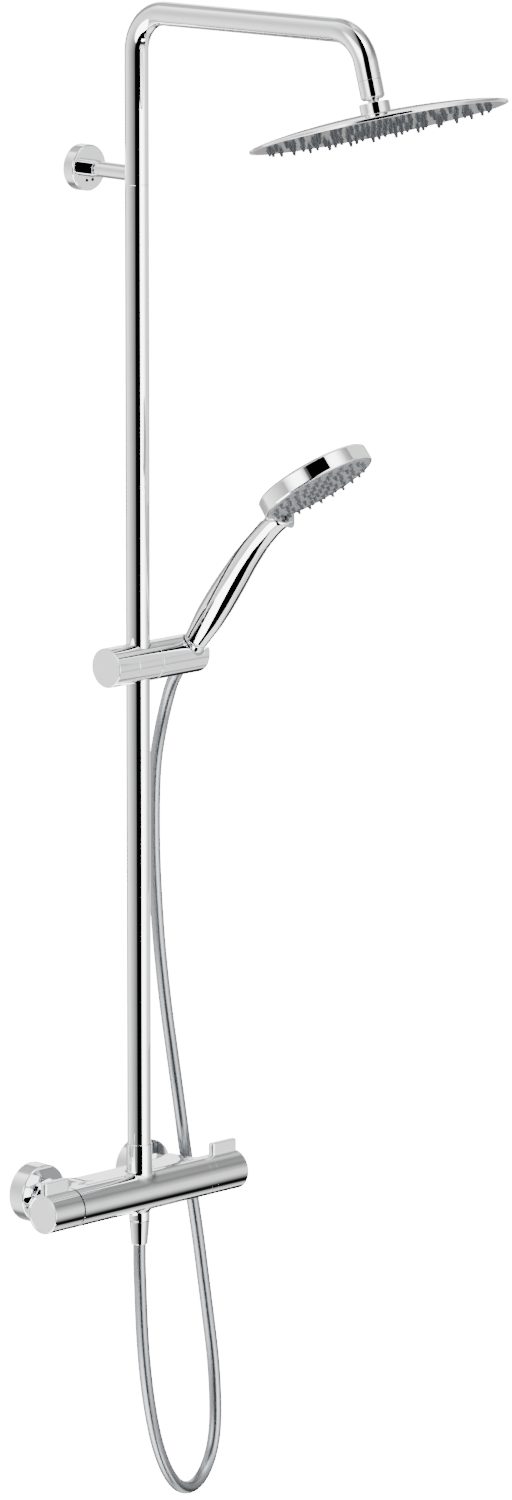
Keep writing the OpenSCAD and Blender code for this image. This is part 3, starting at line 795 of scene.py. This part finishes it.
class SHOWER_OT_column(bpy.types.Operator):
    """Make the collar, the riser and the bent arm"""
    bl_idname = "shower.column"
    bl_label = "Riser and arm"

    def execute(self, context):
        seam = sizes().seam / MM
        collar_r, collar_top, bore_r = 13, 50, TUBE_R + 0.1
        collar = [(0, 12), (collar_r, 12), (collar_r, collar_top, 0.8), (bore_r, collar_top, 0.2),
                  (bore_r, collar_top - 4, 0.2), (0, collar_top - 4)]
        piece("collar", lathe(collar), "column", "chrome", ("riser_collar",), UP)
        riser = [(0, 32), (TUBE_R, 32, 0.2), (TUBE_R, SEAM_Z, seam), (0, SEAM_Z)]
        piece("riser", lathe(riser, segments=128), "column", "chrome", ("riser_tube",), UP)
        line, ways = self.arm_line(ARM_END.translation)
        shape, _ = tube(line, TUBE_R, 96, seam, (1, 0, 0), ways)
        piece("bent_arm", shape, "column", "chrome", ("shower_arm",))
        return {"FINISHED"}

    def arm_line(self, corner, bend_r=40.0, end_drop=47.0):
        """Two bends between three straight legs, from the seam to the ball joint."""
        arm_rise = math.radians(0.8)
        first = Vector((0, AXIS_Y, corner.z - (AXIS_Y - corner.y) * math.tan(arm_rise)))
        last = corner - ARM_AXIS * end_drop
        stops = [Vector((0, AXIS_Y, SEAM_Z)), first, corner, last]
        line, ways = [stops[0]], [Vector((0, 0, 1))]
        for i in (1, 2):
            into = (stops[i] - stops[i - 1]).normalized()
            away = (stops[i + 1] - stops[i]).normalized()
            turn = into.angle(away)
            reach = bend_r * math.tan(turn / 2)
            inward = (away - into * away.dot(into)).normalized()
            centre = stops[i] - into * reach + inward * bend_r
            start = stops[i] - into * reach
            for k in range(1, 5):
                line.append(line[-1].lerp(start, 0.5) if k < 4 else start)
                ways.append(into)
            for k in range(1, 29):
                a = turn * k / 28
                line.append(centre - inward * bend_r * math.cos(a) + into * bend_r * math.sin(a))
                ways.append(into * math.cos(a) + inward * math.sin(a))
        line.append(last)
        ways.append((last - corner).normalized())
        return [list(p) for p in line], np.array([list(w) for w in ways])


class SHOWER_OT_bracket(bpy.types.Operator):
    """Make the upper wall bracket: flange, ferrule, tube and two grub screws"""
    bl_idname = "shower.bracket"
    bl_label = "Wall bracket"

    def execute(self, context):
        low, high = span("bracket_flange")
        z, r, depth = (low.z + high.z) / 2, (high.z - low.z) / 2, high.y - low.y
        out = place((0, 0, z), (0, -1, 0))
        wall, hole_r, sleeve_r, sleeve_end, arm_r = 1.5, 8.4, 8.9, depth + 12, 8
        cup = [(r - wall, 0, 0.3), (r, 0, 0.4), (r, depth, 1.6), (hole_r, depth, 0.5),
               (hole_r, depth - wall, 0.3), (r - wall, depth - wall, 0.8)]
        piece("bracket_rosette", lathe(cup, closed=True, segments=128), "column", "chrome",
              ("bracket_flange",), out)
        sleeve = [(8.05, depth - 0.4, 0.1), (sleeve_r, depth - 0.4, 0.1), (sleeve_r, sleeve_end, 0.5),
                  (8.05, sleeve_end, 0.2)]
        piece("bracket_sleeve", lathe(sleeve, closed=True), "column", "chrome", ("bracket_ferrule",), out)
        arm = [(0, 4), (arm_r, 4, 0.4), (arm_r, -AXIS_Y - 4), (0, -AXIS_Y - 4)]
        piece("bracket_arm", lathe(arm), "column", "chrome", ("bracket_tube",), out)
        screw = lathe([(0, -0.5), (1.6, -0.5), (1.6, 0.6, 0.3), (0.8, 0.6, 0.1), (0.8, 0, 0.1), (0, 0)],
                      segments=24)
        spots = [place((x, -depth, z - 12), (0, -1, 0)) for x in (-4, 4)]
        piece("grub_screws", many(screw, spots), "column", "dark_plastic", ("bracket_grub_screws",))
        return {"FINISHED"}


class SHOWER_OT_rain_head(bpy.types.Operator):
    """Make the ball joint, the rain head's cover and plate, and its nozzles"""
    bl_idname = "shower.rain_head"
    bl_label = "Rain head"

    def execute(self, context):
        # Heights are along the arm's end, down from its corner
        socket = [(7.7, -66), (TUBE_R - 2.4, -66, 0.5), (TUBE_R, -63.6, 0.8), (TUBE_R, -47.3, 0.35),
                  (9.3, -47.3), (9.3, -61.6)]
        piece("ball_cap", lathe(socket, closed=True), "column", "chrome", ("ball_socket",), ARM_END)
        ball_r, ball_z = 9, -57
        ball = [(0, -70.8), (5.6, -70.8), (5.6, -64.4, 0.6)]
        ball += [(ball_r * math.cos(a), ball_z + ball_r * math.sin(a))
                 for a in np.radians(np.arange(-50, 86, 8))]
        ball.append((0, ball_z + ball_r))
        piece("swivel", lathe(ball), "ball", "steel", ("swivel_ball",), ARM_END)
        neck = [(0, -80.5), (15, -80.5, 0.4), (15, -69, 1.0), (6.5, -69, 0.4), (6.5, -71, 0.3), (0, -71)]
        piece("connector", lathe(neck), "rain_head", "chrome", ("rain_connector",), ARM_END)
        top, rim, edge, r, crown_r = -80.6, -91.6, 2.4, 127.0, 10.9
        dome = [(0, rim - 0.2), (r - 3, rim - 0.2, 0.2), (r - 1.4, rim - edge, 0.2), (r, rim - edge, 0.6),
                (r, rim, 1.1)]
        dome += [(crown_r + (r - crown_r) * math.sin(a), rim + (top - rim) * math.cos(a) ** 1.6)
                 for a in np.radians(np.arange(84, 3, -4))]
        dome += [(crown_r, top), (0, top)]
        piece("rain_shell", lathe(dome, segments=192), "rain_head", "chrome", ("rain_cover",), ARM_END)
        plate = [(0, rim - edge), (r - 4.5, rim - edge, 1.5), (r - 2.2, rim - edge + 0.9, 0.6),
                 (r - 2.2, rim - 0.4), (0, rim - 0.4)]
        piece("rain_plate", lathe(plate, segments=192), "rain_head", "face_metal", ("rain_face",), ARM_END)
        tall = sizes().rain_nozzle_len / MM
        nozzle = lathe([(0, -tall + 0.8), (0.7, -tall + 0.8, 0.1), (0.8, -tall, 0.15), (1.35, -tall, 0.3),
                        (2.2, -0.9, 0.5), (3.0, -0.2, 0.3), (3.0, 0.3), (0, 0.3)], segments=20, arc=3)
        spots = [ARM_END @ Matrix.Translation((x, y, rim - edge)) for x, y in rings_of(5, 21.6)]
        piece("rain_jets", many(nozzle, spots), "rain_head", "nozzle_rubber", ("rain_nozzles",))
        return {"FINISHED"}


def rings_of(rings, pitch):
    """The middle spot, then six more spots on each ring."""
    spots = [(0.0, 0.0)]
    for k in range(1, rings + 1):
        spots += [(k * pitch * math.cos(math.pi * i / (3 * k)), k * pitch * math.sin(math.pi * i / (3 * k)))
                  for i in range(6 * k)]
    return spots


class SHOWER_OT_slider(bpy.types.Operator):
    """Make the slider, its clamp knob and the hand-shower holder"""
    bl_idname = "shower.slider"
    bl_label = "Slider and holder"

    def execute(self, context):
        bush = [(TUBE_R + 0.08, -13), (TUBE_R + 0.6, -13, 0.2), (TUBE_R + 0.6, 13, 0.2), (TUBE_R + 0.08, 13)]
        piece("bush", lathe(bush, closed=True), "carriage", "white_plastic", ("slider_bush",),
              place((0, AXIS_Y, SLIDER_Z), (0, 0, 1)))

        def block(x, y, z):
            body = blend_max(np.hypot(y - AXIS_Y, z - SLIDER_Z) - BAR_R, np.abs(x) - 16.5, 0.3)
            return blend_max(body, TUBE_R + 0.7 - np.hypot(x, y - AXIS_Y), 0.9)

        box = 23
        shape = carve(block, (-19, AXIS_Y - box, SLIDER_Z - box), (19, AXIS_Y + box, SLIDER_Z + box), 0.5)
        piece("slider_block", shape, "slider", "chrome_plastic", ("slider_body",))
        grip = [(0, -16.6), (BAR_R, -16.6, 0.12), (BAR_R, -45, 1.0), (0, -45)]
        piece("clamp_grip", lathe(grip, segments=128), "clamp", "chrome_plastic", ("clamp_knob",), SLIDER)
        to_hand = np.array(HAND.inverted())
        lean_y = np.array(Vector((1, 0, 0)).cross(HAND_UP) * -1)

        def cradle(x, y, z):
            p = np.stack([x, y, z], axis=-1)
            local = p @ to_hand[:3, :3].T + to_hand[:3, 3]
            up, out = local[..., 2], np.hypot(local[..., 0], local[..., 1])
            bar = np.hypot(y - AXIS_Y, z - SLIDER_Z) - BAR_R
            body = blend_max(blend_max(bar, x - 82.5, 3.0), 16.65 - x, 0.3)
            bore = out - np.maximum(10.6 + 0.065 * (up + 20), 10.6)
            slot_y = (p - np.array(HAND_O)) @ lean_y
            slot = np.maximum(np.abs(slot_y) - 7.5, HAND_O[0] - x)
            return blend_max(blend_max(body, -bore, 1.6), -slot, 1.6)

        shape = carve(cradle, (14, AXIS_Y - box, SLIDER_Z - box), (85, AXIS_Y + box, SLIDER_Z + box), 0.6)
        piece("hand_cradle", shape, "cradle", "chrome_plastic", ("holder",))
        return {"FINISHED"}


class SHOWER_OT_handle(bpy.types.Operator):
    """Make the hose's cone nut, the oval handle and the neck"""
    bl_idname = "shower.handle"
    bl_label = "Handle"

    def execute(self, context):
        nut = [(0, -15), (6.6, -15), (6.9, -16, 0.3), (10.1, -16, 0.8), (12, 20, 0.5), (0, 20)]
        piece("cone_nut", lathe(nut), "hose_end", "chrome", ("upper_hose_nut",), HAND)
        # Each key is (height, half width, half depth, offset to the front)
        keys = [(20.4, 11.4, 11.2, 0), (21.4, 12.1, 12, 0), (30, 12.9, 12.9, 0), (50, 14.8, 15, 0.2),
                (76, 16, 15.4, 0.4), (104, 16, 14.4, 0.6), (132, 15.2, 12.8, 1), (160, 14.4, 11.2, 3),
                (184, 14.6, 10.4, 7), (196, 15.4, 10.8, 10), (200, 15.6, 11.4, 11.2),
                (202.4, 15, 10.8, 11.4), (203.4, 13.6, 9.4, 11.4)]
        # Where the side crease lies, as (height, degrees round from the right)
        crease = [(20, 168), (32, 167), (69, 174), (100, 166), (132, 153), (162, 139), (204, 118)]
        heights = [20.4, 20.6, 21.4] + list(range(24, 200, 3)) + [200.5, 201.6, 202.4, 203, 203.4]
        table, bend = np.array(keys, float), np.array(crease, float)
        sides, depth, spread, mean_r = 240, 0.9, 2.4, 15
        turn = np.arange(sides) * 360 / sides
        rings = []
        for h in heights:
            a, b, off = (np.interp(h, table[:, 0], table[:, k]) for k in (1, 2, 3))
            at = np.interp(h, bend[:, 0], bend[:, 1])
            pressed = sum(np.exp(-((turn - c) / spread) ** 2) for c in (at, 180 - at))
            fade = np.clip((h - 22) / 8, 0, 1) * np.clip((196 - h) / 20, 0, 1)
            r = 1 - depth * fade * pressed / mean_r
            t = np.radians(turn)
            rings.append(np.stack([a * r * np.cos(t), b * r * np.sin(t) - off, np.full(sides, h)], axis=1))
        smooth, passes = np.array(rings), 8
        for _ in range(passes):
            smooth[4:-6, :, :2] = (smooth[3:-7, :, :2] + 2 * smooth[4:-6, :, :2] + smooth[5:-5, :, :2]) / 4
        piece("handle", loft(smooth.tolist()), "hand_shower", "chrome_plastic", ("handle_shell",), HAND)
        # Painted shade: dark strips laid in the side creases, where the chrome is only shaded
        for name, flip in (("seam_left", False), ("seam_right", True)):
            seam = []
            for h, ring in zip(heights[3:-9], smooth[3:-9]):
                at = np.interp(h, bend[:, 0], bend[:, 1])
                seam.append(ring[int(round((180 - at if flip else at) * sides / 360)) % sides])
            shape, _ = tube(smooth_line(np.array(seam), 3.0), sizes().crease_shade_strip / MM, 12)
            piece(name, shape, "hand_shower", "dark_plastic", at=HAND)
        collar = []
        for h, a, b, off in ((194, 14.4, 8.4, 6.2), (197, 15.4, 9.4, 6.8), (197.4, 15.8, 9.8, 6.8),
                             (203, 15.8, 9.2, 5.6), (209, 15.6, 8.4, 4.4)):
            collar.append([(a * math.cos(t), b * math.sin(t) - off, h) for t in np.radians(turn)])
        piece("neck_band", loft(collar), "hand_shower", "chrome_plastic", ("neck_ring",), HAND)
        return {"FINISHED"}


class SHOWER_OT_spray_head(bpy.types.Operator):
    """Make the hand shower's head, its grey plate, selector tab and nozzles"""
    bl_idname = "shower.spray_head"
    bl_label = "Spray head"

    def execute(self, context):
        r = 60.0
        shell = [(0, 1.5), (r - 2.6, 1.5, 0.2), (r - 2.4, 0, 0.3), (r - 0.9, 0, 0.6), (r, 1.2, 0.8),
                 (r - 0.4, 15.5, 1.6), (r - 4, 18, 3), (0, 21)]
        piece("head_shell", lathe(shell, segments=160), "hand_shower", "chrome_plastic",
              ("spray_shell",), FACE)
        plate = [(0, -0.4), (r - 3.4, -0.4, 0.5), (r - 2.8, 0.2, 0.3), (r - 2.8, 1.3), (0, 1.3)]
        piece("spray_plate", lathe(plate, segments=160), "spray_selector", "face_plastic",
              ("spray_face",), FACE)
        tall = sizes().spray_nozzle_len / MM
        jet = lathe([(0, -tall + 0.6), (0.5, -tall + 0.6), (0.6, -tall, 0.1), (1.3, -tall, 0.25),
                     (2.1, -0.8, 0.4), (2.8, -0.2, 0.3), (2.8, 0.3), (0, 0.3)], segments=16, arc=3)
        spots = [FACE @ Matrix.Translation((x, y, -0.4)) for x, y in rings_of(4, 12.4)]
        piece("spray_jets", many(jet, spots), "spray_selector", "nozzle_rubber", ("spray_nozzles",),
              finish=pale_silicone())
        return {"FINISHED"}


class SHOWER_OT_outlet(bpy.types.Operator):
    """Make the hose outlet under the mixer and its cone nut"""
    bl_idname = "shower.outlet"
    bl_label = "Outlet"

    def execute(self, context):
        nipple = [(0, -29.6), (10.5, -29.6, 0.8), (10.5, -14), (0, -14)]
        piece("outlet_collar", lathe(nipple), "column", "chrome", ("outlet_nipple",), UP)
        nut = [(0, -53), (6.7, -53), (6.7, -54, 0.2), (8.2, -54, 0.8), (10.3, -30, 0.6), (0, -30)]
        piece("outlet_nut", lathe(nut), "column", "chrome", ("lower_hose_nut",), UP)
        return {"FINISHED"}


class SHOWER_OT_carried_over(bpy.types.Operator):
    """Give every CAD part that stays its own finish"""
    bl_idname = "shower.carried_over"
    bl_label = "Carried-over parts"

    def execute(self, context):
        slots = {p["node"]: p["material_slot"] for p in frame["record"]["subparts"]}
        for name, node in frame["nodes"].items():
            if node.hide_render:
                continue
            # The inlet unions are plated where they show behind the nuts
            finish = polished_chrome_on_brass() if name.endswith("wall_union") else SLOT_FINISH[slots[name]]()
            for i in range(len(node.data.materials)):
                node.material_slots[i].material = finish
        return {"FINISHED"}


class SHOWER_OT_stage(bpy.types.Operator):
    """Make the floor, the soft light and the surroundings that the chrome reflects"""
    bl_idname = "shower.stage"
    bl_label = "Stage"

    def execute(self, context):
        stage = context.scene.shower_stage
        half, z = 60.0, -stage.floor_drop
        # Painted board lit until it is almost white: matt, with no shadow of its own
        made, tree = new_finish("pale_floor")
        if tree:
            glow = 17.0
            shader = add(tree, "ShaderNodeBsdfPrincipled", {},
                         {"Base Color": colours().floor, "Roughness": 0.9, "Emission Color": (1, 1, 1, 1),
                          "Emission Strength": glow})
            add(tree, "ShaderNodeOutputMaterial", {}, {}, {"Surface": shader.outputs[0]})
        corners = [(-half, -half, z), (half, -half, z), (half, half, z), (-half, half, z)]
        floor = self.board("floor", corners, made)
        floor.visible_glossy = floor.visible_diffuse = False
        above_left, aim = Vector((-1.5, -3.0, 4.0)), Vector((0, 0, 0.4))
        lamp = bpy.data.lights.new("key", "AREA")
        lamp.energy, lamp.shape, lamp.size = stage.key, "DISK", 3.0
        key = bpy.data.objects.new("key", lamp)
        key.location = above_left
        key.rotation_euler = (aim - above_left).to_track_quat("-Z", "Y").to_euler()
        key.visible_glossy = False
        key.visible_camera = False
        context.scene.collection.objects.link(key)
        # Two bounce cards beside the slider, seen only in its reflections
        low, foot, head = 0.04, 0.62, 1.12
        made, tree = new_finish("white_card")
        if tree:
            glow = 1.7
            shader = add(tree, "ShaderNodeEmission", {}, {"Strength": glow})
            add(tree, "ShaderNodeOutputMaterial", {}, {}, {"Surface": shader.outputs[0]})
        for name, corners in (
                ("bounce_low", [(0.30, -0.47, low), (0.50, -0.20, low), (1.36, -0.18, low),
                                (0.86, -1.16, low)]),
                ("bounce_high", [(0.33, -0.46, foot), (0.51, -0.17, foot), (0.51, -0.17, head),
                                 (0.33, -0.46, head)])):
            card = self.board(name, corners, made)
            card.visible_camera = card.visible_diffuse = card.visible_shadow = False
        self.surroundings(context)
        return {"FINISHED"}

    def board(self, name, corners, finish):
        """A flat board of the studio, which isn't part of the shower."""
        mesh = bpy.data.meshes.new(name)
        mesh.from_pydata(corners, [], [(0, 1, 2, 3)])
        mesh.materials.append(finish)
        made = bpy.data.objects.new(name, mesh)
        bpy.context.scene.collection.objects.link(made)
        return made

    def surroundings(self, context):
        """White studio with grey gradients, one dark upright band, one dark band low down and six cards."""
        world = bpy.data.worlds.new("studio")
        world.use_nodes = True
        tree = world.node_tree
        tree.nodes.clear()
        way = add(tree, "ShaderNodeTexCoord").outputs["Generated"]
        axes = add(tree, "ShaderNodeSeparateXYZ", {}, {}, {0: way})
        # Turn about Z: 0 towards the front left of the room, positive to the right of it
        front_left = math.radians(45.68)
        c, s = math.cos(front_left), math.sin(front_left)
        right, forward = (add(tree, "ShaderNodeVectorMath", {"operation": "DOT_PRODUCT"}, {1: axis}, {0: way})
                          for axis in ((c, -s, 0), (-s, -c, 0)))
        around = add(tree, "ShaderNodeMath", {"operation": "ARCTAN2"}, {},
                     {0: right.outputs["Value"], 1: forward.outputs["Value"]})
        turn = add(tree, "ShaderNodeMapRange", {}, {"From Min": -math.pi, "From Max": math.pi},
                   {"Value": around.outputs[0]})
        height = add(tree, "ShaderNodeMath", {"operation": "ARCSINE"}, {}, {0: axes.outputs["Z"]})
        rise = add(tree, "ShaderNodeMapRange", {}, {"From Min": -math.pi / 2, "From Max": math.pi / 2},
                   {"Value": height.outputs[0]})
        # Brightness at each turn, in degrees, then how much of it is left at each height, left and right of
        # the front; sides says which of the two heights counts
        by_turn = [(-180, 0.6), (-160, 0.7), (-140, 0.75), (-128, 0.9), (-122, 2.4), (-116, 2.9), (-90, 2.0),
                   (-70, 1.25), (-56, 0.9), (-43, 0.64), (-30, 0.42), (-17, 0.22), (-16, 0.003), (30, 0.003),
                   (31.5, 9.0), (45, 12.0), (62, 10.0), (76, 5.0), (88, 1.9), (100, 1.4), (118, 0.8),
                   (128, 0.65), (140, 1.3), (154, 2.3), (166, 1.5), (176, 0.6), (180, 0.6)]
        left_rise = [(-90, 1.2), (-60, 1.0), (-48, 0.5), (-45, 0.4), (-41, 0.8), (-31, 1.1), (-11, 1.0),
                     (4, 0.75), (16, 0.67), (28, 0.8), (42, 1.2), (60, 1.0), (90, 1.0)]
        right_rise = [(-90, 1.6), (-47, 1.6), (-45, 0.9), (-43.5, 0.12), (-42, 0.005), (-35, 0.005),
                      (-32, 0.1), (-25, 0.32), (-11, 0.95), (2, 0.85), (16, 0.46), (29, 0.22), (43, 0.5),
                      (52, 0.9), (90, 1.0)]
        sides = [(-180, 0.0), (-25, 0.0), (25, 1.0), (180, 1.0)]
        # Cards in front of the gradients: left, right, bottom and top in degrees, softness and brightness
        cards = [(-85, -19, -80, -27, 1.5, 11.0), (-17, 80, -95, -52, 1.5, 0.003),
                 (80, 185, -95, -52, 1.5, 2.8), (-70, -26, 5, 28, 6.0, 9.0), (164, 185, 5, 32, 1.5, 3.2),
                 (-185, -164, 5, 32, 1.5, 3.2)]
        brightest = 16.0
        ramps = []
        for source, stops, span_deg, top in ((turn, by_turn, 360, brightest), (rise, left_rise, 180, 1.0),
                                             (rise, right_rise, 180, 1.0), (turn, sides, 360, 1.0)):
            ramp = add(tree, "ShaderNodeValToRGB", {}, {}, {"Fac": source.outputs["Result"]})
            line = ramp.color_ramp.elements
            while len(line) > 1:
                line.remove(line[-1])
            for i, (degrees, value) in enumerate(stops):
                at = degrees / span_deg + 0.5
                stop = line[0] if i == 0 else line.new(at)
                stop.position = at
                stop.color = (value / top, value / top, value / top, 1)
            ramps.append(ramp.outputs["Color"])
        banded = add(tree, "ShaderNodeMix", {"data_type": "RGBA"}, {},
                     {0: ramps[3], 6: ramps[1], 7: ramps[2]})
        both = add(tree, "ShaderNodeMix", {"data_type": "RGBA", "blend_type": "MULTIPLY"}, {0: 1.0},
                   {6: ramps[0], 7: banded.outputs[2]})
        whole = both.outputs[2]
        for left, right, bottom, top, blur, level in cards:
            inside, soft = None, math.radians(blur)
            for source, low, high in ((around, left, right), (height, bottom, top)):
                for edge, sign in ((low, 1), (high, -1)):
                    edge = math.radians(edge)
                    step = add(tree, "ShaderNodeMapRange", {},
                               {"From Min": edge - sign * soft, "From Max": edge + sign * soft},
                               {"Value": source.outputs[0]})
                    if inside is not None:
                        step = add(tree, "ShaderNodeMath", {"operation": "MULTIPLY"}, {},
                                   {0: inside, 1: step.outputs[0]})
                    inside = step.outputs[0]
            shade = level / brightest
            mixed = add(tree, "ShaderNodeMix", {"data_type": "RGBA"}, {7: (shade, shade, shade, 1)},
                        {0: inside, 6: whole})
            whole = mixed.outputs[2]
        light = add(tree, "ShaderNodeBackground", {}, {"Strength": brightest}, {"Color": whole})
        add(tree, "ShaderNodeOutputWorld", {}, {}, {"Surface": light.outputs[0]})
        context.scene.world = world


MAKERS = (
    SHOWER_OT_camera, SHOWER_OT_hose, SHOWER_OT_mixer, SHOWER_OT_knobs, SHOWER_OT_inlets, SHOWER_OT_column,
    SHOWER_OT_bracket, SHOWER_OT_rain_head, SHOWER_OT_slider, SHOWER_OT_handle, SHOWER_OT_spray_head,
    SHOWER_OT_outlet, SHOWER_OT_carried_over, SHOWER_OT_stage,
)


class SHOWER_PT_panel(bpy.types.Panel):
    """The makers and their settings"""
    bl_idname = "SHOWER_PT_panel"
    bl_label = "Shower column"
    bl_space_type = "VIEW_3D"
    bl_region_type = "UI"
    bl_category = "Shower"

    def draw(self, context):
        for group in (context.scene.shower_sizes, context.scene.shower_colours, context.scene.shower_stage):
            box = self.layout.box()
            for name in group.bl_rna.properties.keys():
                if name not in ("rna_type", "name"):
                    box.prop(group, name)
        for maker in MAKERS:
            self.layout.operator(maker.bl_idname)


GROUPS = {"shower_sizes": ShowerSizes, "shower_colours": ShowerColours, "shower_stage": ShowerStage}


def register():
    for cls in (*GROUPS.values(), *MAKERS, SHOWER_PT_panel):
        bpy.utils.register_class(cls)
    for name, group in GROUPS.items():
        setattr(bpy.types.Scene, name, PointerProperty(type=group))


def unregister():
    for name in GROUPS:
        delattr(bpy.types.Scene, name)
    for cls in reversed((*GROUPS.values(), *MAKERS, SHOWER_PT_panel)):
        bpy.utils.unregister_class(cls)


def main():
    register()
    for maker in MAKERS:
        family, action = maker.bl_idname.split(".")
        getattr(getattr(bpy.ops, family), action)()


if __name__ == "__main__":
    main()
